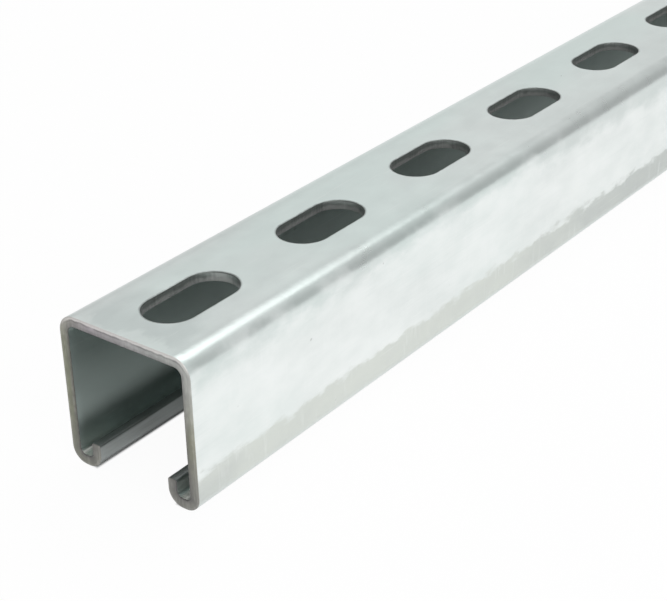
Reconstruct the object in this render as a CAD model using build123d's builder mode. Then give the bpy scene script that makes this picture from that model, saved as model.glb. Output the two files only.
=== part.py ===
"""Slotted strut channel: one length of 41.3 mm (1-5/8 in) roll-formed, galvanised steel channel.

The channel lies along X with its open, lipped side down and its slotted web up. The origin is
at the middle of the length, centred across the width, on the plane of the lips' undersides.
"""

import os

from build123d import *

# Section, in millimetres
WIDTH = 41.3  # outside to outside of the two side walls
HEIGHT = 41.3  # underside of the lips to the outer face of the web
GAUGE = 2.7  # thickness of the strip, 12 gauge
LIP_WIDTH = 9.55  # outer face of a side wall to the face of its lip's return at the mouth
LIP_HEIGHT = 7.1  # underside of a lip to the edge of its upturned return, 9/32 in
WEB_BEND = 4.8  # outer radius of the two bends beside the web
LIP_BEND = 4.2  # outer radius of the four bends that make the lips
STRIP_EDGE = 0.5  # rounding of the strip's two slit edges

# Length and slots, in millimetres
LENGTH = 609.6  # a 2 ft cut length
SLOT_LENGTH = 28.6  # end to end of one slot, 1-1/8 in
SLOT_WIDTH = 14.3  # side to side of one slot, 9/16 in
SLOT_PITCH = 50.8  # centre to centre of neighbouring slots, 2 in
END_TO_SLOT = 24.0  # cut end at -X to the centre of the first slot
SLOT_ROLLOVER = 0.35  # edge that the punch draws in round a slot's outer rim
END_BREAK = 0.25  # edge taken off round both cut ends

# The strip's centre line, half its thickness in from the outside of the section.
half_gauge = GAUGE / 2
wall_y = WIDTH / 2 - half_gauge
web_z = HEIGHT - half_gauge
mouth = WIDTH - 2 * LIP_WIDTH  # 22.2 mm, 7/8 in
return_y = mouth / 2 + half_gauge
lip_bend = LIP_BEND - half_gauge
web_bend = WEB_BEND - half_gauge

# The row holds every slot whose outline lies at least one strip thickness clear of the far end.
row_room = LENGTH - END_TO_SLOT - SLOT_LENGTH / 2 - GAUGE
slot_count = int(row_room // SLOT_PITCH) + 1
row_centre = END_TO_SLOT + (slot_count - 1) * SLOT_PITCH / 2 - LENGTH / 2
punch_travel = 2 * GAUGE

with BuildPart() as strut_channel:
    # One folded strip: up the first return, round the lips, walls and web, down the second return.
    with BuildSketch(Plane.YZ.offset(-LENGTH / 2)) as section:
        with BuildLine():
            FilletPolyline(
                (return_y, LIP_HEIGHT),
                (return_y, half_gauge),
                (wall_y, half_gauge),
                (wall_y, web_z),
                (-wall_y, web_z),
                (-wall_y, half_gauge),
                (-return_y, half_gauge),
                (-return_y, LIP_HEIGHT),
                radius=[lip_bend, lip_bend, web_bend, web_bend, lip_bend, lip_bend],
            )
        trace(line_width=GAUGE)
        strip_edges = section.vertices().filter_by_position(Axis.Y, LIP_HEIGHT, LIP_HEIGHT)
        fillet(strip_edges, radius=STRIP_EDGE)
    extrude(amount=LENGTH)

    # Both cut ends, deburred round the whole section.
    chamfer(strut_channel.faces().filter_by(Axis.X).edges(), length=END_BREAK)

    # The slot row, punched through the web from outside.
    with BuildSketch(Plane(origin=(row_centre, 0, HEIGHT))):
        with GridLocations(SLOT_PITCH, 0, slot_count, 1):
            SlotOverall(SLOT_LENGTH, SLOT_WIDTH)
    extrude(amount=-punch_travel, mode=Mode.SUBTRACT)
    outer_rims = strut_channel.edges(Select.LAST).group_by(Axis.Z)[-1]
    chamfer(outer_rims, length=SLOT_ROLLOVER)

strut_channel.part.label = "strut_channel"
os.makedirs("parts", exist_ok=True)
export_step(strut_channel.part, "parts/strut_channel.step")
print(f"{slot_count} slots, volume {strut_channel.part.volume:.1f} mm3")
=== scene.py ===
"""Dresses one length of galvanised slotted strut channel.

The channel is one coated steel strip, slotted while flat and then folded by rollers. The scene
builds it the same way: every vertex starts in the flat strip's own coordinates (x along the
strip, s across it and n through its thickness), and one fold carries it into the row frame.
"""

import logging
import math
from abc import ABC, abstractmethod
from dataclasses import dataclass, field, fields
from enum import Enum, IntEnum
from typing import ClassVar

import bpy
import numpy as np
from mathutils import Matrix, Vector


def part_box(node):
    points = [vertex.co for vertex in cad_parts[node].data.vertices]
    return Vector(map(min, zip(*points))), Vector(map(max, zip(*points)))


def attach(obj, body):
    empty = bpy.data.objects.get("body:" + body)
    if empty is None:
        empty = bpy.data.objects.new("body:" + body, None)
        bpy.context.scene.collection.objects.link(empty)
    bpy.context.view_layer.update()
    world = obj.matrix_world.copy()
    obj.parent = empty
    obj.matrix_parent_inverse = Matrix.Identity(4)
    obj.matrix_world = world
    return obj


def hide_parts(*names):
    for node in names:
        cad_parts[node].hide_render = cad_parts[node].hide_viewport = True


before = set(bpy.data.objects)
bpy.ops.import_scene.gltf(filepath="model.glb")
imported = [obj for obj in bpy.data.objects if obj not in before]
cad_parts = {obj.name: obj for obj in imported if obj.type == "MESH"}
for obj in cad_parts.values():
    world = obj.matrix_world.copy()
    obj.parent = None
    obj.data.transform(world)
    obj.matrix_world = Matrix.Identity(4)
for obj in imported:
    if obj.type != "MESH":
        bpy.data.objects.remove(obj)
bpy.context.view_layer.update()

NODE = "strut_channel"
STRIP_MAP = "strip"
QUARTER = math.pi / 2

Placed = tuple[np.ndarray, np.ndarray]
Socket = bpy.types.NodeSocket
Triple = tuple[float, float, float]
Color = tuple[float, float, float, float]

logging.basicConfig(level=logging.INFO, format="%(message)s")
log = logging.getLogger("strut")


def put(name: str, data: bpy.types.ID) -> bpy.types.Object:
    """Adds an object with a mesh, lamp or camera to the scene."""
    thing = bpy.data.objects.new(name, data)
    bpy.context.scene.collection.objects.link(thing)
    return thing


class Region(IntEnum):
    """The finishes of the channel, in the order of its material slots."""

    SHEET = 0
    CUT_END = 1
    PUNCHED = 2


@dataclass(frozen=True)
class FoldedStrip:
    """The strip's section and the fold that makes it, in metres."""

    width: float
    height: float
    gauge: float = 0.0027
    lip_width: float = 0.00955
    lip_height: float = 0.0071
    web_bend: float = 0.0048
    lip_bend: float = 0.0042
    edge_round: float = 0.0005
    bend_steps: int = 12
    edge_steps: int = 4
    guard: float = 0.0002

    @property
    def half_gauge(self) -> float:
        """Half the strip's thickness."""
        return self.gauge / 2

    @property
    def web_flat(self) -> float:
        """Half the width of the web's flat, between its two bends."""
        return self.width / 2 - self.web_bend

    def runs(self) -> np.ndarray:
        """Rows of (length, turn) along the middle line, from the web's centre to a return's edge.

        Returns:
            One row for each straight run or quarter turn, in metres and radians.
        """
        web_turn = QUARTER * (self.web_bend - self.half_gauge)
        lip_turn = QUARTER * (self.lip_bend - self.half_gauge)
        return np.array(
            [
                (self.web_flat, 0.0),
                (web_turn, QUARTER),
                (self.height - self.web_bend - self.lip_bend, 0.0),
                (lip_turn, QUARTER),
                (self.lip_width - 2 * self.lip_bend, 0.0),
                (lip_turn, QUARTER),
                (self.lip_height - self.lip_bend, 0.0),
            ]
        )

    @property
    def half_strip(self) -> float:
        """Half the flat strip's width, measured along its middle line."""
        return float(self.runs()[:, 0].sum())

    def fold(self, s: np.ndarray, n: np.ndarray) -> tuple[np.ndarray, np.ndarray]:
        """Carries strip coordinates into the section.

        In a run that starts at heading h0 and turns evenly, a point at distance a has turned by t.
        It lies a chord of a * sin(t/2) / (t/2) away along the heading h0 + t/2, which is a itself
        where the run is straight. It then moves n along the outward normal (sin h, cos h).

        Args:
            s: Distance across the strip from the web's centre, negative towards -Y.
            n: Distance outwards from the middle line.

        Returns:
            The y and z of every point.
        """
        length, turn = self.runs().T
        starts = np.concatenate([[0.0], np.cumsum(length)[:-1]])
        heading = np.concatenate([[0.0], np.cumsum(turn)[:-1]])
        chord = length * np.sinc(turn / (2 * np.pi))
        step = np.c_[chord * np.cos(heading + turn / 2), -chord * np.sin(heading + turn / 2)]
        origin = np.array([0.0, self.height - self.half_gauge])
        corner = origin + np.r_[np.zeros((1, 2)), np.cumsum(step, axis=0)[:-1]]

        reach = np.abs(s)
        run = np.clip(np.searchsorted(starts, reach, side="right") - 1, 0, len(length) - 1)
        along = reach - starts[run]
        turned = turn[run] * along / length[run]
        chord = along * np.sinc(turned / (2 * np.pi))
        middle, end = heading[run] + turned / 2, heading[run] + turned
        y = corner[run, 0] + chord * np.cos(middle) + n * np.sin(end)
        z = corner[run, 1] - chord * np.sin(middle) + n * np.cos(end)
        return np.where(s < 0, -y, y), z

    def half_profile(self, inset: float = 0.0) -> tuple[np.ndarray, np.ndarray]:
        """The outer side of half the strip's outline, from the web's flat to its rounded edge.

        Flats get stations only beside the bends, and bends are divided evenly.

        Args:
            inset: How far the outline is drawn in on every side.

        Returns:
            s and n of each station; the inner side has the same s and -n.
        """
        stations, start = [], 0.0
        for index, (length, turn) in enumerate(self.runs()):
            if index:
                guard = min(self.guard, length / 4)
                flat = [0.0, guard, length / 2, length - guard]
                bend = np.linspace(0, length, self.bend_steps, endpoint=False)
                stations.append(start + (bend if turn else np.array(flat)))
            start += length
        sides = np.concatenate(stations)
        centre = self.half_strip - self.edge_round
        sides = sides[sides < centre - self.guard]
        angle = np.linspace(0, QUARTER, self.edge_steps + 1)
        radius = self.edge_round - inset
        s = np.concatenate([sides, centre + radius * np.sin(angle)])
        corner = self.half_gauge - self.edge_round + radius * np.cos(angle)
        n = np.concatenate([np.full(len(sides), self.half_gauge - inset), corner])
        return s, n


@dataclass(frozen=True)
class SlotRow:
    """The punched slots, in metres."""

    length: float = 0.0286
    width: float = 0.0143
    pitch: float = 0.0508
    end_to_slot: float = 0.0240
    rollover: float = 0.00035
    burr: float = 0.00012
    along_steps: int = 20
    across_steps: int = 16
    roll_steps: int = 4

    def centres(self, start: float, end: float) -> np.ndarray:
        """Places of the slots' centres on a length from start to end."""
        room = end - start - self.end_to_slot - self.length / 2
        count = int(room // self.pitch) + 1
        return start + self.end_to_slot + self.pitch * np.arange(count)

    def outline(self, angle: np.ndarray, grow: np.ndarray) -> tuple[np.ndarray, np.ndarray]:
        """Where rays from a slot's centre meet its outline, grown outwards.

        With c half the straight side and r the end's radius plus grow, a ray at angle a meets a
        straight side at r / |sin a|, or past it an end arc at c|cos a| + sqrt(r^2 - c^2 sin^2 a).

        Args:
            angle: The rays' angles from +X.
            grow: How far the outline is moved outwards.

        Returns:
            x and s of the points, from the slot's centre.
        """
        half_side = (self.length - self.width) / 2
        radius = self.width / 2 + grow
        up, across = np.abs(np.sin(angle)), np.abs(np.cos(angle))
        to_side = radius / np.maximum(up, 1e-9)
        to_arc = half_side * across + np.sqrt(np.maximum(radius**2 - (half_side * up) ** 2, 0))
        distance = np.where(to_side * across <= half_side, to_side, to_arc)
        return distance * np.cos(angle), distance * np.sin(angle)


@dataclass
class SurfaceNet:
    """Grids of points gathered into one mesh."""

    points: list[np.ndarray] = field(default_factory=list)
    strips: list[np.ndarray] = field(default_factory=list)
    quads: list[np.ndarray] = field(default_factory=list)
    regions: list[np.ndarray] = field(default_factory=list)
    count: int = 0

    def add(self, place: Placed, regions: np.ndarray, flip: bool = False) -> None:
        """Adds a grid of points as quads.

        Args:
            place: The grid's points and its strip coordinates, as (rows, columns, 3) each. The
                first row crossed with the first column points outwards, or inwards with flip.
            regions: The Region of each row of quads.
            flip: Whether to turn the quads over.
        """
        grid, strip = place
        rows, columns = grid.shape[:2]
        index = self.count + np.arange(rows * columns).reshape(rows, columns)
        corners = (index[:-1, :-1], index[:-1, 1:], index[1:, 1:], index[1:, :-1])
        quads = np.stack(corners[::-1] if flip else corners, axis=-1).reshape(-1, 4)
        self.points.append(grid.reshape(-1, 3))
        self.strips.append(strip.reshape(-1, 3))
        self.quads.append(quads)
        self.regions.append(np.repeat(np.broadcast_to(regions, rows - 1), columns - 1))
        self.count += rows * columns

    def mesh(self, name: str) -> bpy.types.Mesh:
        """Welds the grids into one closed mesh with smooth faces.

        Its point attribute named by STRIP_MAP holds the flat strip's coordinates x, s and n.
        """
        points, quads = np.concatenate(self.points), np.concatenate(self.quads)
        key = np.round(points / 1e-7).astype(np.int64)
        _, first, weld = np.unique(key, axis=0, return_index=True, return_inverse=True)
        quads = weld.reshape(-1)[quads]
        mesh = bpy.data.meshes.new(name)
        mesh.vertices.add(len(first))
        mesh.vertices.foreach_set("co", points[first].astype(np.float32).ravel())
        mesh.loops.add(quads.size)
        mesh.loops.foreach_set("vertex_index", quads.astype(np.int32).ravel())
        mesh.polygons.add(len(quads))
        mesh.polygons.foreach_set("loop_start", np.arange(0, quads.size, 4, dtype=np.int32))
        mesh.polygons.foreach_set("material_index", np.concatenate(self.regions).astype(np.int32))
        mesh.update(calc_edges=True)
        mesh.validate()
        mesh.shade_smooth()
        strip = mesh.attributes.new(STRIP_MAP, "FLOAT_VECTOR", "POINT")
        strip.data.foreach_set("vector", np.concatenate(self.strips)[first].astype(np.float32).ravel())
        return mesh


@dataclass(frozen=True)
class StrutChannel:
    """The whole channel: a slotted strip, folded, and cut off at both ends."""

    strip: FoldedStrip
    slots: SlotRow
    start: float
    end: float
    end_break: float = 0.00025
    break_steps: int = 4
    wander_depth: float = 0.00006

    @classmethod
    def from_node(cls, node: str) -> "StrutChannel":
        """Takes the channel's length, width and height from its CAD node."""
        low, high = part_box(node)
        return cls(FoldedStrip(high.y - low.y, high.z - low.z), SlotRow(), low.x, high.x)

    def wander(self, x: np.ndarray, s: np.ndarray) -> np.ndarray:
        """How far the rollers left the side walls inwards of true.

        A sum of three long sine waves along x, between 0 and 1, times a sine over each wall's
        flat, so that the bends, web and lips stay true.
        """
        runs = self.strip.runs()[:, 0]
        low, high = runs[:2].sum(), runs[:3].sum()
        across = np.clip((np.abs(s) - low) / (high - low), 0, 1)
        side = np.where(s < 0, 1.7, 0.0)
        waves = np.sin(41 * x + side) + 0.7 * np.sin(87 * x + 2 + side) + 0.4 * np.sin(163 * x + side)
        return self.wander_depth * (0.5 + waves / 4.2) * np.sin(np.pi * across)

    def place(self, x: np.ndarray, s: np.ndarray, n: np.ndarray) -> Placed:
        """Folds strip coordinates into points of the row frame.

        Returns:
            The points and their strip coordinates, of the arguments' common shape.
        """
        x, s, n = np.broadcast_arrays(x, s, n)
        y, z = self.strip.fold(s, n)
        lean = np.where(s < 0, 1.0, -1.0) * self.wander(x, s)
        return np.stack([x, y + lean, z], axis=-1), np.stack([x, s, n], axis=-1)

    def cell_edges(self) -> np.ndarray:
        """The places along x where one slot's stretch of the web ends and the next starts."""
        centres = self.slots.centres(self.start, self.end)
        between = (centres[:-1] + centres[1:]) / 2
        ends = (self.start + self.end_break, self.end - self.end_break)
        return np.concatenate([ends[:1], between, ends[1:]])

    def along(self) -> np.ndarray:
        """Stations along x that the web's stretches and the side walls share."""
        edges, steps = self.cell_edges(), self.slots.along_steps
        shares = np.linspace(0, 1, steps, endpoint=False)
        inner = (edges[:-1, None] + np.diff(edges)[:, None] * shares).ravel()
        return np.append(inner, edges[-1])

    def across(self) -> np.ndarray:
        """Stations across the web's flat."""
        return np.linspace(-self.strip.web_flat, self.strip.web_flat, self.slots.across_steps + 1)

    def slot_stretch(self, net: SurfaceNet, low: float, high: float, centre: float) -> None:
        """Adds one slot's stretch of the web, outer face, punched wall and inner face.

        Each ring of the grid is a closed line round the slot. The rings start at the stretch's
        border on the outer face, close in on the slot, roll over its rim, go down its wall, and
        spread out again on the inner face. The punched finish takes the rim's lower half, the wall
        and its burr.

        Args:
            net: Takes the grid.
            low: Where the stretch starts along x.
            high: Where it ends.
            centre: Where the slot's centre is.
        """
        slots, half, flat = self.slots, self.strip.half_gauge, self.strip.web_flat
        x_side = np.linspace(low, high, slots.along_steps, endpoint=False)
        s_side = np.linspace(-flat, flat, slots.across_steps, endpoint=False)
        x = np.concatenate(
            [x_side, np.full(len(s_side), high), low + high - x_side, np.full(len(s_side), low)]
        )
        s = np.concatenate([np.full(len(x_side), -flat), s_side, np.full(len(x_side), flat), -s_side])
        x, s = np.append(x, x[0]), np.append(s, s[0])
        angle = np.arctan2(s, x - centre)

        roll = np.linspace(0, QUARTER, slots.roll_steps + 1)
        guard = self.strip.guard
        rim_grow = slots.rollover * (1 - np.sin(roll))
        rim_n = half - slots.rollover * (1 - np.cos(roll))
        foot_grow = [0.0, slots.burr, slots.burr + guard]
        foot_n = [slots.burr - half, -half, -half]
        grow = np.concatenate([[slots.rollover + guard], rim_grow, foot_grow])
        ring_x, ring_s = slots.outline(angle[None, :], grow[:, None])
        ring_n = np.concatenate([[half], rim_n, foot_n])

        shares = np.array([0.0, 0.02, 0.3, 0.6])[:, None]
        first = (x + shares * (ring_x[0] + centre - x), s + shares * (ring_s[0] - s))
        last = (x + shares[::-1] * (ring_x[-1] + centre - x), s + shares[::-1] * (ring_s[-1] - s))
        all_x = np.concatenate([first[0], ring_x + centre, last[0]])
        all_s = np.concatenate([first[1], ring_s, last[1]])
        flat_n = np.full(len(shares), half)
        all_n = np.concatenate([flat_n, ring_n, -flat_n])[:, None]
        regions = np.full(len(all_n) - 1, Region.SHEET)
        rolled = len(shares) + 1
        regions[rolled + slots.roll_steps // 2 : rolled + len(roll) + 1] = Region.PUNCHED
        net.add(self.place(all_x, all_s, all_n), regions)

    def side_walls(self, net: SurfaceNet) -> None:
        """Adds both bends, side walls and lips, outside and inside, round the strip's two edges."""
        s, n = self.strip.half_profile()
        loop_s = np.concatenate([s, s[::-1]])[:, None]
        loop_n = np.concatenate([n, -n[::-1]])[:, None]
        x = self.along()[None, :]
        regions = np.full(len(loop_s) - 1, Region.SHEET)
        net.add(self.place(x, loop_s, loop_n), regions)
        net.add(self.place(x, -loop_s, loop_n), regions, flip=True)

    def cut_end(self, net: SurfaceNet, x_end: float, inwards: float) -> None:
        """Adds one cut end: a quarter-round break all round the section, and the flat face.

        Args:
            net: Takes the grids.
            x_end: Where the cut is.
            inwards: 1.0 at the low end of the channel and -1.0 at its high end.
        """
        angle = np.linspace(0, QUARTER, self.break_steps + 1)
        insets = self.end_break * (1 - np.cos(angle))
        depths = self.end_break * (1 - np.sin(angle))
        web = self.across()[1:-1]
        upper_rows, lower_rows = [], []
        for inset, depth in zip(insets, depths):
            s, n = self.strip.half_profile(inset)
            half = self.strip.half_gauge - inset
            all_s = np.concatenate([-s[::-1], web, s])
            all_n = np.concatenate([n[::-1], np.full(len(web), half), n])
            x = np.full(len(all_s), x_end + inwards * depth)
            upper_rows.append((x, all_s, all_n))
            lower_rows.append((x, all_s, -all_n))
        upper, lower = np.stack(upper_rows, axis=1), np.stack(lower_rows, axis=1)
        ring = np.concatenate([upper, lower[:, :, ::-1], upper[:, :, :1]], axis=2)
        face = np.stack([upper[:, -1], lower[:, -1]], axis=1)
        flip = inwards < 0
        net.add(self.place(*ring), np.full(self.break_steps, Region.CUT_END), flip=flip)
        net.add(self.place(*face), np.full(1, Region.CUT_END), flip=flip)

    def build(self) -> bpy.types.Object:
        """Makes the channel's object, closed and with its faces outwards."""
        net = SurfaceNet()
        edges = self.cell_edges()
        centres = self.slots.centres(self.start, self.end)
        for low, high, centre in zip(edges[:-1], edges[1:], centres):
            self.slot_stretch(net, low, high, centre)
        self.side_walls(net)
        self.cut_end(net, self.start, 1.0)
        self.cut_end(net, self.end, -1.0)
        return put("channel", net.mesh("channel"))


class NodeTree:
    """A short way to add and link the nodes of one tree."""

    def __init__(self, tree: bpy.types.NodeTree) -> None:
        """Takes the tree that nodes are added to."""
        self.tree = tree

    def add(self, kind: str, inputs: dict | None = None, **settings: object) -> bpy.types.Node:
        """Adds a node.

        Args:
            kind: The node's Blender type, such as ShaderNodeMath.
            inputs: Socket name or number to a value or to the output socket that feeds it.
            **settings: The node's own properties.

        Returns:
            The new node.
        """
        node = self.tree.nodes.new(kind)
        for name, value in settings.items():
            setattr(node, name, value)
        self.feed(node, inputs or {})
        return node

    def feed(self, node: bpy.types.Node, inputs: dict) -> None:
        """Links sockets to a node's inputs, and sets the ones given as values."""
        for name, value in inputs.items():
            if isinstance(value, bpy.types.NodeSocket):
                self.tree.links.new(value, node.inputs[name])
            else:
                node.inputs[name].default_value = value

    def math(self, operation: str, *values: object, clamp: bool = False) -> Socket:
        """Adds a Math node and returns its output."""
        inputs = dict(enumerate(values))
        return self.add("ShaderNodeMath", inputs, operation=operation, use_clamp=clamp).outputs[0]

    def total(self, *values: object) -> Socket:
        """Adds up values and sockets."""
        result = values[0]
        for value in values[1:]:
            result = self.math("ADD", result, value)
        return result

    def product(self, *values: object) -> Socket:
        """Multiplies values and sockets."""
        result = values[0]
        for value in values[1:]:
            result = self.math("MULTIPLY", result, value)
        return result

    def weigh(self, base: object, *parts: tuple[object, float]) -> Socket:
        """Adds to a base each mask times its weight."""
        return self.total(base, *(self.product(mask, weight) for mask, weight in parts))

    def minus(self, first: object, second: object) -> Socket:
        """Takes the second value from the first."""
        return self.math("SUBTRACT", first, second)

    def apart(self, first: object, second: object) -> Socket:
        """How far apart two values are."""
        return self.math("ABSOLUTE", self.minus(first, second))

    def shift(self, mask: object, depth: float) -> Socket:
        """Turns a mask into a shift of -depth/2 to depth/2."""
        return self.product(self.minus(mask, 0.5), depth)

    def ramp(
        self, value: object, low: object, high: object, bottom: object = 0.0, top: object = 1.0
    ) -> Socket:
        """Eases a value from bottom at low to top at high."""
        inputs = {"Value": value, "From Min": low, "From Max": high, "To Min": bottom, "To Max": top}
        return self.add("ShaderNodeMapRange", inputs, interpolation_type="SMOOTHSTEP").outputs[0]

    def fall(self, value: object, low: object, high: object) -> Socket:
        """Eases a value from 1 at low to 0 at high."""
        return self.ramp(value, low, high, 1.0, 0.0)

    def band(self, value: object, rise: tuple[float, float], fall: tuple[float, float]) -> Socket:
        """A mask that is 1 between a rise from 0 and a fall back to it."""
        return self.product(self.ramp(value, *rise), self.fall(value, *fall))

    def stretch(self, vector: object, scale: object) -> Socket:
        """Multiplies a vector by another, part by part."""
        return self.add("ShaderNodeVectorMath", {0: vector, 1: scale}, operation="MULTIPLY").outputs[0]

    def noise(
        self, vector: object, scale: object = 1.0, detail: object = 3.0, rough: float = 0.5
    ) -> Socket:
        """Adds a noise and returns its value, which is about 0.5 on average."""
        inputs = {"Vector": vector, "Scale": scale, "Detail": detail, "Roughness": rough}
        return self.add("ShaderNodeTexNoise", inputs).outputs[0]

    def mix(self, factor: object, first: object, second: object) -> Socket:
        """Mixes two colours."""
        return self.add("ShaderNodeMix", {0: factor, 6: first, 7: second}, data_type="RGBA").outputs[2]

    def layers(self, base: object, *layers: tuple[object, object, float]) -> Socket:
        """Lays colours over a base in turn, each with the mask of where it goes and a strength."""
        for over, mask, strength in layers:
            base = self.mix(self.math("MULTIPLY", mask, strength, clamp=True), base, over)
        return base

    def strip_map(self) -> Socket:
        """Reads the flat strip's coordinates."""
        return self.add("ShaderNodeAttribute", attribute_name=STRIP_MAP).outputs["Vector"]

    def parts(self, vector: object) -> tuple[Socket, Socket, Socket]:
        """Splits a vector into its three parts."""
        node = self.add("ShaderNodeSeparateXYZ", {0: vector})
        return node.outputs[0], node.outputs[1], node.outputs[2]


class Effect(Enum):
    """The shader node groups that finishes share."""

    PATCHES = "patches"
    LINES = "lines"
    GRAIN = "grain"
    EDGE_WEAR = "ragged_margin"
    SLOT_DISTANCE = "slot_distance"


class Pattern:
    """One use of a shared group, whose inputs are the fields of the dataclass."""

    effect: ClassVar[Effect]

    def inputs(self) -> dict[str, object]:
        """The group's inputs by name."""
        return {each.name.title(): getattr(self, each.name) for each in fields(self)}


@dataclass(frozen=True)
class Patches(Pattern):
    """Cloudy patches, stretched and more or less ragged."""

    effect: ClassVar[Effect] = Effect.PATCHES
    stretch: Triple
    low: float
    high: float
    detail: float = 4.0


@dataclass(frozen=True)
class Lines(Pattern):
    """Fine lines, and the scale at which they come and go."""

    effect: ClassVar[Effect] = Effect.LINES
    stretch: Triple
    low: float
    high: float
    fade: float


@dataclass(frozen=True)
class Grain(Pattern):
    """The scales of the crystals and of the tooth."""

    effect: ClassVar[Effect] = Effect.GRAIN
    crystal: float
    tooth: float


@dataclass(frozen=True)
class RaggedMargin(Pattern):
    """A ragged margin's width, the scale of its raggedness, and how far it wanders in widths."""

    effect: ClassVar[Effect] = Effect.EDGE_WEAR
    width: float
    breakup: float
    ragged: float


class Effects:
    """Builds each shared group once and places it in the finishes."""

    def __init__(self, channel: StrutChannel) -> None:
        """Builds every group for one channel."""
        self.channel = channel
        self.groups: dict[Effect, bpy.types.NodeTree] = {}
        self.patches()
        self.lines()
        self.grain()
        self.ragged_margin()
        self.slot_distance()

    def start(self, effect: Effect, **inputs: object) -> tuple[NodeTree, bpy.types.NodeOutputs]:
        """Starts a group that takes the strip's coordinates, as Vector, and other inputs.

        Args:
            effect: Which group this is.
            **inputs: Its other inputs by name, with their defaults.

        Returns:
            The group's nodes and the sockets of its inputs.
        """
        tree = bpy.data.node_groups.new(effect.value, "ShaderNodeTree")
        for name, default in {"Vector": (0, 0, 0), **inputs}.items():
            kind = "NodeSocketVector" if isinstance(default, tuple) else "NodeSocketFloat"
            socket = tree.interface.new_socket(name=name, in_out="INPUT", socket_type=kind)
            socket.default_value = default
        self.groups[effect] = tree
        nodes = NodeTree(tree)
        return nodes, nodes.add("NodeGroupInput").outputs

    def finish(self, nodes: NodeTree, outputs: dict[str, Socket]) -> None:
        """Gives a group its named outputs."""
        for name in outputs:
            nodes.tree.interface.new_socket(name=name, in_out="OUTPUT", socket_type="NodeSocketFloat")
        nodes.add("NodeGroupOutput", outputs)

    def place(self, nodes: NodeTree, effect: Effect, **inputs: object) -> bpy.types.NodeOutputs:
        """Places a group in a finish and returns its outputs."""
        return nodes.add("ShaderNodeGroup", inputs, node_tree=self.groups[effect]).outputs

    def pattern(
        self, nodes: NodeTree, pattern: Pattern, vector: Socket, **more: object
    ) -> bpy.types.NodeOutputs:
        """Places a pattern's group on the strip's coordinates and returns its outputs."""
        return self.place(nodes, pattern.effect, Vector=vector, **pattern.inputs(), **more)

    def mask(self, nodes: NodeTree, pattern: Pattern, vector: Socket, **more: object) -> Socket:
        """Places a pattern's group and returns its mask."""
        return self.pattern(nodes, pattern, vector, **more)["Mask"]

    def patches(self) -> None:
        """Cloudy patches with soft, ragged edges."""
        nodes, given = self.start(Effect.PATCHES, Stretch=(1, 1, 1), Low=0.4, High=0.6, Detail=4.0)
        vector = nodes.stretch(given["Vector"], given["Stretch"])
        cloud = nodes.noise(vector, 1.0, given["Detail"], 0.55)
        mask = nodes.ramp(cloud, given["Low"], given["High"])
        self.finish(nodes, {"Mask": mask})

    def lines(self) -> None:
        """Fine lines along the axis that is stretched least, which come and go."""
        nodes, given = self.start(Effect.LINES, Stretch=(1, 1, 1), Low=0.5, High=0.75, Fade=30.0)
        vector = nodes.stretch(given["Vector"], given["Stretch"])
        line = nodes.ramp(nodes.noise(vector, 1.0, 2.0), given["Low"], given["High"])
        come = nodes.ramp(nodes.noise(given["Vector"], given["Fade"], 1.0), 0.35, 0.65)
        self.finish(nodes, {"Mask": nodes.product(line, come), "Height": line})

    def grain(self) -> None:
        """The grain of the metal's skin: crystals of uneven tone, and a fine tooth."""
        nodes, given = self.start(Effect.GRAIN, Crystal=400.0, Tooth=2500.0)
        vector, crystal = given["Vector"], given["Crystal"]
        warp = nodes.product(nodes.noise(vector, crystal, 2.0), 0.0016)
        moved = nodes.add("ShaderNodeVectorMath", {0: vector, 1: warp}, operation="ADD").outputs[0]
        cells = nodes.add("ShaderNodeTexVoronoi", {"Vector": moved, "Scale": crystal})
        tone = nodes.parts(cells.outputs["Color"])[0]
        tooth = nodes.noise(vector, given["Tooth"], 3.0, 0.6)
        self.finish(nodes, {"Tone": tone, "Tooth": tooth})

    def ragged_margin(self) -> None:
        """A ragged margin along an edge: 1 at the edge, and 0 a width away from it."""
        nodes, given = self.start(
            Effect.EDGE_WEAR, Distance=0.0, Width=0.001, Breakup=600.0, Ragged=0.8
        )
        width = given["Width"]
        rough = nodes.minus(nodes.noise(given["Vector"], given["Breakup"], 4.0), 0.5)
        shift = nodes.product(rough, width, given["Ragged"], 2.0)
        distance = nodes.total(given["Distance"], shift)
        self.finish(nodes, {"Mask": nodes.fall(distance, 0.0, width)})

    def slot_distance(self) -> None:
        """The distance across the strip's face from the outline of the nearest slot.

        With u the distance along x from the nearest slot's centre and c half its straight side, it
        is the length of (max(|u| - c, 0), s), less the end's radius.
        """
        slots = self.channel.slots
        nodes, given = self.start(Effect.SLOT_DISTANCE)
        x, s, _ = nodes.parts(given["Vector"])
        first = self.channel.start + slots.end_to_slot
        along = nodes.math("PINGPONG", nodes.minus(x, first), slots.pitch / 2)
        beyond = nodes.math("MAXIMUM", nodes.minus(along, (slots.length - slots.width) / 2), 0.0)
        squares = nodes.total(nodes.product(beyond, beyond), nodes.product(s, s))
        distance = nodes.minus(nodes.math("SQRT", squares), slots.width / 2)
        self.finish(nodes, {"Distance": distance})


@dataclass(frozen=True)
class Finish(ABC):
    """What every finish shares: a name, a material and its Principled shader."""

    name: str

    @abstractmethod
    def dress(self, nodes: NodeTree, effects: Effects) -> dict[str, object]:
        """Adds the finish's nodes.

        Returns:
            The shader's inputs by socket name, and Height for the bump.
        """

    def build(self, effects: Effects) -> bpy.types.Material:
        """Makes the material.

        Args:
            effects: The shared groups.

        Returns:
            The new material.
        """
        material = bpy.data.materials.new(self.name)
        material.use_nodes = True
        nodes = NodeTree(material.node_tree)
        inputs = self.dress(nodes, effects)
        relief = {"Height": inputs.pop("Height"), "Strength": 1.0, "Distance": 1.0}
        inputs["Normal"] = nodes.add("ShaderNodeBump", relief).outputs[0]
        nodes.feed(material.node_tree.nodes["Principled BSDF"], inputs)
        return material


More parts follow.
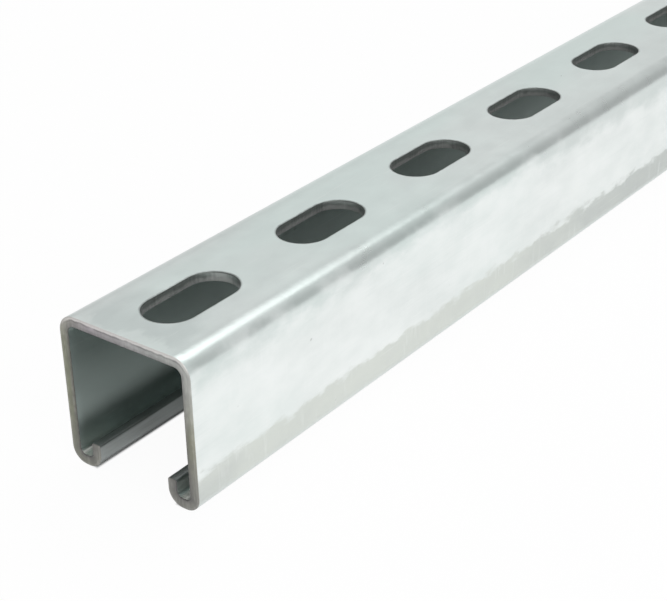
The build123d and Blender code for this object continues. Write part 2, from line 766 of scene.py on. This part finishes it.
@dataclass(frozen=True)
class SheetPlace:
    """Where a point of the sheet lies, as sockets, with the strip's own edges in metres."""

    place: Socket
    x: Socket
    reach: Socket
    outer: Socket
    cloud: Socket
    mottle: Socket
    from_end: Socket
    web_edge: float
    wall_low: float
    wall_high: float

    @classmethod
    def read(cls, nodes: NodeTree, effects: Effects) -> "SheetPlace":
        """Reads the flat strip's coordinates and adds the clouds that every layer shares.

        Args:
            nodes: The finish's nodes.
            effects: The shared groups.

        Returns:
            The sockets, with reach the distance from the web's centre line and outer 1 on the
            strip's outer face.
        """
        channel = effects.channel
        edges = np.cumsum(channel.strip.runs()[:3, 0])
        place = nodes.strip_map()
        x, s, n = nodes.parts(place)
        cloud = effects.mask(nodes, Patches((22, 70, 70), 0.3, 0.7), place)
        mottle = effects.mask(nodes, Patches((110, 190, 190), 0.25, 0.75, 6.0), place)
        from_start, to_end = nodes.minus(x, channel.start), nodes.minus(channel.end, x)
        from_end = nodes.math("MINIMUM", from_start, to_end)
        outer = nodes.ramp(n, -0.0002, 0.0002)
        return cls(place, x, nodes.math("ABSOLUTE", s), outer, cloud, mottle, from_end, *edges)


@dataclass(frozen=True)
class ZincSheet(Finish):
    """The satin zinc of the strip's two faces, as the rollers leave it, with painted shade and light on
    its walls, lips and slot rims.
    """

    name: str = "zinc_sheet"
    pale: Color = (0.75, 0.80, 0.785, 1.0)
    deep: Color = (0.65, 0.70, 0.685, 1.0)
    cool: Color = (0.62, 0.745, 0.71, 1.0)
    smudge: Color = (0.50, 0.56, 0.55, 1.0)
    milk: Color = (0.87, 0.895, 0.885, 1.0)
    scuffed: Color = (0.66, 0.69, 0.645, 1.0)
    grimy: Color = (0.50, 0.53, 0.515, 1.0)
    inside: Color = (0.565, 0.645, 0.62, 1.0)
    formed: Color = (0.34, 0.345, 0.345, 1.0)
    groove: Color = (0.86, 0.85, 0.80, 1.0)
    rim: Color = (0.07, 0.08, 0.075, 1.0)
    speck: Color = (0.22, 0.23, 0.21, 1.0)
    roughness: float = 0.35
    milk_share: float = 0.78
    scuff_height: float = 0.0062
    rack_middle: float = -0.075
    rack_pitch: float = 0.30
    tooth_height: float = 0.000005
    line_depth: float = 0.000005
    wave_height: float = 0.00003
    scratch_depth: float = 0.000003
    grain: Grain = Grain(330.0, 2600.0)
    rim_wear: RaggedMargin = RaggedMargin(0.0007, 500.0, 0.35)
    rolled: Lines = Lines((14, 1900, 400), 0.45, 0.72, 45.0)
    scratched: Lines = Lines((45, 1500, 300), 0.66, 0.74, 70.0)
    streaked: Lines = Lines((700, 90, 300), 0.55, 0.75, 110.0)
    dragged: Lines = Lines((25, 900, 300), 0.3, 0.7, 60.0)
    rippled: Patches = Patches((140, 420, 300), 0.2, 0.8)
    scuffs: Patches = Patches((150, 330, 260), 0.2, 0.8, 6.0)

    def skin(self, nodes: NodeTree, at: SheetPlace, crystals: Socket) -> Socket:
        """The zinc's own tones: crystals, clouds, cooler patches, and a smudge beside the cuts."""
        tone = nodes.weigh(nodes.product(at.cloud, 0.55), (at.mottle, 0.30), (crystals, 0.15))
        color = nodes.mix(tone, self.deep, self.pale)
        drift = nodes.noise(nodes.stretch(at.place, (11, 26, 26)), 1.0, 2.0)
        ragged = nodes.total(at.from_end, nodes.shift(at.mottle, 0.006))
        smudge = nodes.band(ragged, (0.001, 0.004), (0.007, 0.024))
        on_web = nodes.fall(at.reach, at.web_edge - 0.004, at.web_edge)
        cooler, smudged = nodes.ramp(drift, 0.40, 0.62), nodes.product(smudge, on_web)
        return nodes.layers(color, (self.cool, cooler, 0.4), (self.smudge, smudged, 0.45))

    def rack(self, nodes: NodeTree, at: SheetPlace) -> Socket:
        """Painted shade along the length: 1 in stretches a tenth of a metre long, a pitch apart."""
        away = nodes.math("PINGPONG", nodes.minus(at.x, self.rack_middle), self.rack_pitch / 2)
        return nodes.fall(nodes.total(away, nodes.shift(at.cloud, 0.03)), 0.045, 0.085)

    def film(self, nodes: NodeTree, at: SheetPlace, rack: Socket) -> Socket:
        """The milky film on the side walls' outer face, thin at its ragged upper margin, which drops in
        the painted shade stretches so that the walls' upper part shows greyer there.
        """
        height = nodes.weigh(nodes.total(at.reach, nodes.shift(at.mottle, 0.004)), (rack, -0.0025))
        on_wall = nodes.product(
            nodes.ramp(height, at.wall_low - 0.003, at.wall_low + 0.004),
            nodes.fall(at.reach, at.wall_high - 0.0005, at.wall_high + 0.003),
            at.outer,
        )
        body = nodes.weigh(0.62, (at.cloud, 0.20), (at.mottle, 0.30))
        return nodes.math("MULTIPLY", nodes.product(on_wall, self.milk_share), body, clamp=True)

    def scuff(self, nodes: NodeTree, effects: Effects, at: SheetPlace) -> Socket:
        """The darker foot of the side walls, partly scuffing and partly a painted reflection of the
        floor's shade beside them, under a soft and ragged margin.
        """
        ragged = nodes.shift(effects.mask(nodes, self.scuffs, at.place), 0.0036)
        above = nodes.total(nodes.minus(at.wall_high - self.scuff_height, at.reach), ragged)
        below = nodes.fall(at.reach, at.wall_high, at.wall_high + 0.002)
        return nodes.product(nodes.fall(above, -0.0012, 0.0012), below, at.outer)

    def lips(self, nodes: NodeTree, effects: Effects, at: SheetPlace, color: Socket) -> Socket:
        """The inner face and the lips: painted shade on the lips, painted light on the groove's floor
        near the cut ends, and painted shade under the lips and on their edges.
        """
        inner, past_wall = nodes.minus(1.0, at.outer), nodes.minus(at.reach, at.wall_high)
        drag = nodes.weigh(0.7, (effects.mask(nodes, self.dragged, at.place), 0.3))
        # Painted light: the groove's floor inside the lip is paler near the cut ends, where light comes
        # in.
        floor = nodes.band(past_wall, (0.0005, 0.003), (0.0058, 0.008))
        floor = nodes.product(floor, nodes.fall(at.from_end, 0.004, 0.018))
        # Painted shade on the lips' underside, where they meet the floor.
        shaded_underside = nodes.band(past_wall, (0.0040, 0.0052), (0.0080, 0.0092))
        edge = effects.channel.strip.half_strip
        return nodes.layers(
            color,
            (self.inside, inner, 1.0),
            # Painted shade on the lips, streaked along the drag lines.
            (self.formed, nodes.product(nodes.ramp(past_wall, 0.004, 0.010), drag), 1.0),
            (self.groove, nodes.product(floor, inner), 0.9),
            (self.rim, nodes.product(shaded_underside, at.outer), 0.85),
            # Painted shade on the returns' edges.
            (self.rim, nodes.ramp(at.reach, edge - 0.0006, edge - 0.0001), 0.5),
        )

    def dress(self, nodes: NodeTree, effects: Effects) -> dict[str, object]:
        """Adds the zinc's skin, milky film, the walls' darker foot with painted shade, the lips' painted
        shade and light, roller lines, grime and painted shade round the slots, and specks.
        """
        at = SheetPlace.read(nodes, effects)
        grain = effects.pattern(nodes, self.grain, at.place)
        rolled = effects.pattern(nodes, self.rolled, at.place)
        scratch = effects.mask(nodes, self.scratched, at.place)
        streak = effects.mask(nodes, self.streaked, at.place)
        # Painted shade: stretches along the length where the walls' upper part and foot turn greyer.
        rack = self.rack(nodes, at)
        film = self.film(nodes, at, rack)
        scuff = self.scuff(nodes, effects, at)
        # Dirt with painted shade: the walls' foot is greyer in the shade stretches.
        dirt_and_shade = nodes.weigh(nodes.product(rack, 0.7), (at.mottle, 0.25))
        color = nodes.layers(
            nodes.mix(film, self.skin(nodes, at, grain["Tone"]), self.milk),
            # The walls' darker foot: scuffing plus a painted reflection of the floor's shade.
            (nodes.layers(self.scuffed, (self.grimy, dirt_and_shade, 1.0)), scuff, 0.85),
            (self.milk, nodes.product(streak, film), 0.35),
        )
        gap = effects.place(nodes, Effect.SLOT_DISTANCE, Vector=at.place)["Distance"]
        color = nodes.layers(
            self.lips(nodes, effects, at, color),
            (self.milk, scratch, 0.22),
            (self.deep, rolled["Mask"], 0.12),
            # Grime and painted shade round the slots' rims.
            (self.rim, effects.mask(nodes, self.rim_wear, at.place, Distance=gap), 0.75),
            (self.speck, nodes.ramp(nodes.noise(at.place, 300.0, 1.0), 0.815, 0.85), 0.35),
        )

        off_bend = nodes.apart(at.reach, (at.web_edge + at.wall_low) / 2)
        bend = nodes.product(nodes.fall(off_bend, 0.002, 0.0055), at.outer)
        rough = nodes.weigh(
            self.roughness,
            (film, 0.16),
            (scuff, 0.05),
            (bend, -0.09),
            (at.mottle, 0.06),
            (grain["Tone"], 0.03),
        )
        metal = nodes.math("SUBTRACT", 1.0, nodes.product(film, 0.75), clamp=True)
        ripple = nodes.product(effects.mask(nodes, self.rippled, at.place), bend)
        height = nodes.weigh(
            nodes.product(grain["Tooth"], self.tooth_height),
            (rolled["Height"], -self.line_depth),
            (at.mottle, self.wave_height),
            (ripple, self.wave_height),
            (scratch, -self.scratch_depth),
        )
        return {"Base Color": color, "Metallic": metal, "Roughness": rough, "Height": height}


@dataclass(frozen=True)
class SawnEnd(Finish):
    """The sawn end of the strip: bare steel with blade marks, dulling from violet to olive."""

    name: str = "sawn_end"
    tones: tuple[tuple[float, Color], ...] = (
        (0.0, (0.24, 0.24, 0.22, 1.0)),
        (0.13, (0.25, 0.25, 0.225, 1.0)),
        (0.22, (0.28, 0.285, 0.215, 1.0)),
        (0.32, (0.47, 0.48, 0.45, 1.0)),
        (0.42, (0.45, 0.465, 0.45, 1.0)),
        (0.58, (0.41, 0.38, 0.40, 1.0)),
        (0.68, (0.265, 0.275, 0.205, 1.0)),
        (0.80, (0.24, 0.25, 0.185, 1.0)),
        (1.0, (0.23, 0.23, 0.21, 1.0)),
    )
    bright: Color = (0.74, 0.72, 0.70, 1.0)
    seam: Color = (0.10, 0.095, 0.10, 1.0)
    roughness: float = 0.46
    burr_depth: float = 0.00045
    mark_depth: float = 0.00002
    tooth_height: float = 0.00001
    grain: Grain = Grain(1200.0, 4000.0)
    inner_wear: RaggedMargin = RaggedMargin(0.0004, 900.0, 0.9)
    sawn: Lines = Lines((60, 2400, 60), 0.42, 0.62, 400.0)
    stained: Patches = Patches((300, 300, 900), 0.35, 0.7)

    def tone(self, nodes: NodeTree, strip: FoldedStrip, s: Socket) -> Socket:
        """The tone at each place across the strip, from one return's edge to the other's."""
        limits = {"Value": s, "From Min": -strip.half_strip, "From Max": strip.half_strip}
        around = nodes.add("ShaderNodeMapRange", limits)
        ramp = nodes.add("ShaderNodeValToRGB", {0: around.outputs[0]})
        stops = ramp.color_ramp.elements
        stops[0].position, stops[0].color = self.tones[0]
        stops[1].position, stops[1].color = self.tones[-1]
        for position, tone in self.tones[1:-1]:
            stops.new(position).color = tone
        return ramp.outputs[0]

    def dress(self, nodes: NodeTree, effects: Effects) -> dict[str, object]:
        """Adds the tones round the section, a painted highlight along the web's outer edge, blade marks
        and stains.
        """
        strip = effects.channel.strip
        half = strip.half_gauge
        place = nodes.strip_map()
        _, s, n = nodes.parts(place)
        saw = effects.pattern(nodes, self.sawn, self.blade(nodes))
        stain = effects.mask(nodes, self.stained, place)
        grain = effects.pattern(nodes, self.grain, place)
        drawn = nodes.total(n, nodes.shift(nodes.noise(place, 420.0, 4.0), 0.0009))
        flat = strip.web_flat
        on_web = nodes.ramp(nodes.math("ABSOLUTE", s), flat, flat + 0.006, 1.0, 0.12)
        edge = nodes.ramp(drawn, self.burr_depth, 2 * self.burr_depth)
        broken = nodes.ramp(nodes.noise(place, 300.0, 2.0), 0.3, 0.6)
        line = nodes.fall(nodes.apart(drawn, self.burr_depth), 0.00005, 0.0004)
        color = nodes.layers(
            self.tone(nodes, strip, s),
            (self.seam, stain, 0.25),
            (self.seam, nodes.fall(drawn, -half, half / 3), 0.5),
            (self.bright, saw["Mask"], 0.10),
            # Painted highlight along the outer edge of the web's cut.
            (self.bright, nodes.product(edge, on_web), 0.7),
            (self.seam, nodes.product(line, broken, on_web), 0.5),
            (self.seam, effects.mask(nodes, self.inner_wear, place, Distance=nodes.total(half, n)), 0.5),
        )
        marks = nodes.product(saw["Height"], self.mark_depth)
        return {
            "Base Color": color,
            "Metallic": nodes.weigh(0.9, (stain, -0.3)),
            "Roughness": nodes.weigh(self.roughness, (stain, 0.12), (saw["Mask"], -0.08)),
            "Height": nodes.weigh(marks, (grain["Tooth"], self.tooth_height)),
        }

    def blade(self, nodes: NodeTree) -> Socket:
        """Object coordinates turned so that the blade's marks run down the section."""
        place = nodes.add("ShaderNodeTexCoord").outputs["Object"]
        turned = {"Vector": place, "Rotation": (0.0, QUARTER, 0.0)}
        return nodes.add("ShaderNodeMapping", turned).outputs[0]


@dataclass(frozen=True)
class PunchedWall(Finish):
    """The wall of a slot: a burnished band where the punch cut, and a torn band below it."""

    name: str = "punched_wall"
    cut: Color = (0.33, 0.35, 0.34, 1.0)
    torn: Color = (0.46, 0.47, 0.46, 1.0)
    rim: Color = (0.09, 0.10, 0.095, 1.0)
    roughness: float = 0.42
    drag_depth: float = 0.00002
    tear_depth: float = 0.00003
    dragged: Lines = Lines((1400, 1400, 60), 0.4, 0.6, 300.0)
    wavers: Patches = Patches((350, 350, 0.1), 0.2, 0.8)

    def dress(self, nodes: NodeTree, effects: Effects) -> dict[str, object]:
        """Adds the two bands, with drag lines through the thickness and a dark top of grime and painted
        shade.
        """
        half = effects.channel.strip.half_gauge
        place = nodes.strip_map()
        n = nodes.parts(place)[2]
        drag = effects.pattern(nodes, self.dragged, place)
        waver = effects.mask(nodes, self.wavers, place)
        torn = nodes.fall(nodes.weigh(n, (waver, 0.0009)), -0.0002, 0.0008)
        color = nodes.layers(
            nodes.mix(torn, self.cut, self.torn),
            (self.rim, drag["Mask"], 0.3),
            # Grime and painted shade along the top of the slot's wall.
            (self.rim, nodes.ramp(n, half - 0.0005, half - 0.0001), 1.0),
        )
        rough = nodes.weigh(self.roughness, (torn, 0.2))
        height = nodes.weigh(nodes.product(drag["Height"], self.drag_depth), (torn, -self.tear_depth))
        return {"Base Color": color, "Metallic": 0.85, "Roughness": rough, "Height": height}


@dataclass(frozen=True)
class SoftLamp:
    """A soft area lamp."""

    name: str
    place: Triple
    size: tuple[float, float]
    power: float

    def build(self, aim: Vector) -> None:
        """Adds the lamp, looking at a point."""
        data = bpy.data.lights.new(self.name, "AREA")
        data.shape = "RECTANGLE"
        data.size, data.size_y = self.size
        data.energy = self.power
        lamp = put(self.name, data)
        lamp.location = self.place
        lamp.rotation_euler = (aim - lamp.location).to_track_quat("-Z", "Y").to_euler()


@dataclass(frozen=True)
class Studio:
    """A pale floor, a pale surround and soft lamps."""

    floor_size: float = 8.0
    floor_color: Color = (0.86, 0.86, 0.86, 1.0)
    seen_share: float = 0.95
    mirrored_share: float = 0.75
    shaded_share: float = 0.1
    deeper_share: float = 0.26
    lip_shade: float = 0.0032
    side_level: float = 0.62
    top_level: float = 0.85
    pale_level: float = 0.28
    pale_heading: Triple = (0.86, 0.50, 0.05)
    lamps: tuple[SoftLamp, ...] = (
        SoftLamp("overhead", (0.31, 0.16, 0.94), (0.85, 0.40), 1.12),
        SoftLamp("front", (-0.9, -1.3, 0.9), (1.8, 1.4), 14.5),
    )
    dusk_level: float = -0.10
    dusk_heading: Triple = (0.85, -0.48, 0.2)

    def floor(self, channel: StrutChannel) -> bpy.types.Object:
        """Makes the floor, which glows white to the camera and to metal but keeps its shade.

        It glows little to metal under the channel, more under its far part as painted light for the far
        slots' insides, and little to the camera under the lips.
        """
        half = self.floor_size / 2
        corners = [(-half, -half, 0), (half, -half, 0), (half, half, 0), (-half, half, 0)]
        mesh = bpy.data.meshes.new("floor")
        mesh.from_pydata(corners, [], [(0, 1, 2, 3)])
        floor = put("floor", mesh)
        material = bpy.data.materials.new("floor_paper")
        material.use_nodes = True
        nodes = NodeTree(material.node_tree)
        material.node_tree.nodes.clear()
        path = nodes.add("ShaderNodeLightPath")
        glossy, through = path.outputs["Is Glossy Ray"], path.outputs["Is Transmission Ray"]
        mirrored = nodes.math("ADD", glossy, through, clamp=True)
        strip = channel.strip
        x, y, _ = nodes.parts(nodes.add("ShaderNodeTexCoord").outputs["Object"])
        beyond = nodes.minus(nodes.math("ABSOLUTE", x), channel.end)
        aside = nodes.math("ABSOLUTE", y)
        outside = nodes.minus(aside, strip.width / 2 - strip.lip_bend)
        outside = nodes.ramp(nodes.math("MAXIMUM", beyond, outside), -0.004, 0.002)
        middle = strip.width / 2 - strip.lip_width + self.lip_shade
        lips = nodes.minus(nodes.apart(aside, middle), self.lip_shade / 2)
        lips = nodes.ramp(nodes.math("MAXIMUM", beyond, lips), -0.0008, 0.0002)
        # Painted light: under the channel's far part the floor glows more to metal, which lights the far
        # slots' insides.
        shaded = nodes.ramp(x, -0.14, -0.04, self.shaded_share, self.deeper_share)
        mirror_share = nodes.ramp(outside, 0.0, 1.0, shaded, self.mirrored_share)
        share = nodes.total(
            nodes.product(path.outputs["Is Camera Ray"], lips, self.seen_share),
            nodes.product(mirrored, mirror_share),
        )
        paper = nodes.add("ShaderNodeBsdfDiffuse", {"Color": self.floor_color})
        glow = nodes.add("ShaderNodeEmission", {"Color": (1, 1, 1, 1), "Strength": 1.0})
        mix = nodes.add("ShaderNodeMixShader", {0: share, 1: paper.outputs[0], 2: glow.outputs[0]})
        nodes.add("ShaderNodeOutputMaterial", {0: mix.outputs[0]})
        mesh.materials.append(material)
        return floor

    def world(self) -> None:
        """Makes the surround: white where it is seen, and a studio's levels as light.

        The light is brighter overhead and towards a pale wall, and dimmer towards a dusky corner.
        """
        world = bpy.data.worlds.new("studio")
        bpy.context.scene.world = world
        world.use_nodes = True
        nodes = NodeTree(world.node_tree)
        world.node_tree.nodes.clear()
        heading = nodes.add("ShaderNodeTexCoord").outputs["Generated"]
        height = nodes.parts(heading)[2]
        level = nodes.ramp(height, 0.45, 0.85, self.side_level, self.top_level)
        for toward, change, width in (
            (self.pale_heading, self.pale_level, 0.85),
            (self.dusk_heading, self.dusk_level, 0.92),
        ):
            near = nodes.add("ShaderNodeVectorMath", {0: heading, 1: toward}, operation="DOT_PRODUCT")
            facing = nodes.ramp(near.outputs["Value"], width, 0.98)
            level = nodes.weigh(level, (facing, change))
        seen = nodes.add("ShaderNodeLightPath").outputs["Is Camera Ray"]
        level = nodes.add("ShaderNodeMix", {0: seen, 2: level, 3: 1.0}).outputs[0]
        glow = nodes.add("ShaderNodeBackground", {"Color": (1, 1, 1, 1), "Strength": level})
        nodes.add("ShaderNodeOutputWorld", {0: glow.outputs[0]})

    def build(self, channel: StrutChannel) -> None:
        """Sets up the floor, the surround and the lamps."""
        near_end = Vector((channel.start, 0.0, channel.strip.height))
        self.floor(channel)
        self.world()
        for lamp in self.lamps:
            lamp.build(near_end)


@dataclass(frozen=True)
class ViewCamera:
    """The camera, off the channel's near end, looking along it and down on it."""

    place: Triple = (-0.5277, -0.2349, 0.2218)
    azimuth: float = 37.85
    elevation: float = -28.29
    roll: float = -1.33
    lens: float = 86.81

    def build(self) -> bpy.types.Object:
        """Makes the camera.

        It looks along azimuth and elevation in degrees, and is rolled about that line.
        """
        azimuth, elevation = math.radians(self.azimuth), math.radians(self.elevation)
        level = math.cos(elevation)
        look = Vector((level * math.cos(azimuth), level * math.sin(azimuth), math.sin(elevation)))
        side = look.cross(Vector((0, 0, 1))).normalized()
        top = side.cross(look)
        roll = math.radians(self.roll)
        right = side * math.cos(roll) + top * math.sin(roll)
        up = top * math.cos(roll) - side * math.sin(roll)
        data = bpy.data.cameras.new("camera")
        data.sensor_width = 36.0
        data.lens = self.lens
        data.clip_start = 0.01
        data.clip_end = 50.0
        camera = put("camera", data)
        turn = Matrix((right, up, -look)).transposed().to_4x4()
        camera.matrix_world = Matrix.Translation(self.place) @ turn
        bpy.context.scene.camera = camera
        return camera


def main() -> None:
    """Builds and dresses the channel, then sets up the studio and the camera."""
    channel = StrutChannel.from_node(NODE)
    piece = channel.build()
    effects = Effects(channel)
    for finish in (ZincSheet(), SawnEnd(), PunchedWall()):
        piece.data.materials.append(finish.build(effects))
    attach(piece, "root")
    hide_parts(NODE)
    log.info("%s: %d faces", piece.name, len(piece.data.polygons))
    Studio().build(channel)
    ViewCamera().build()
    bpy.context.scene.view_settings.view_transform = "Standard"


if __name__ == "__main__":
    main()
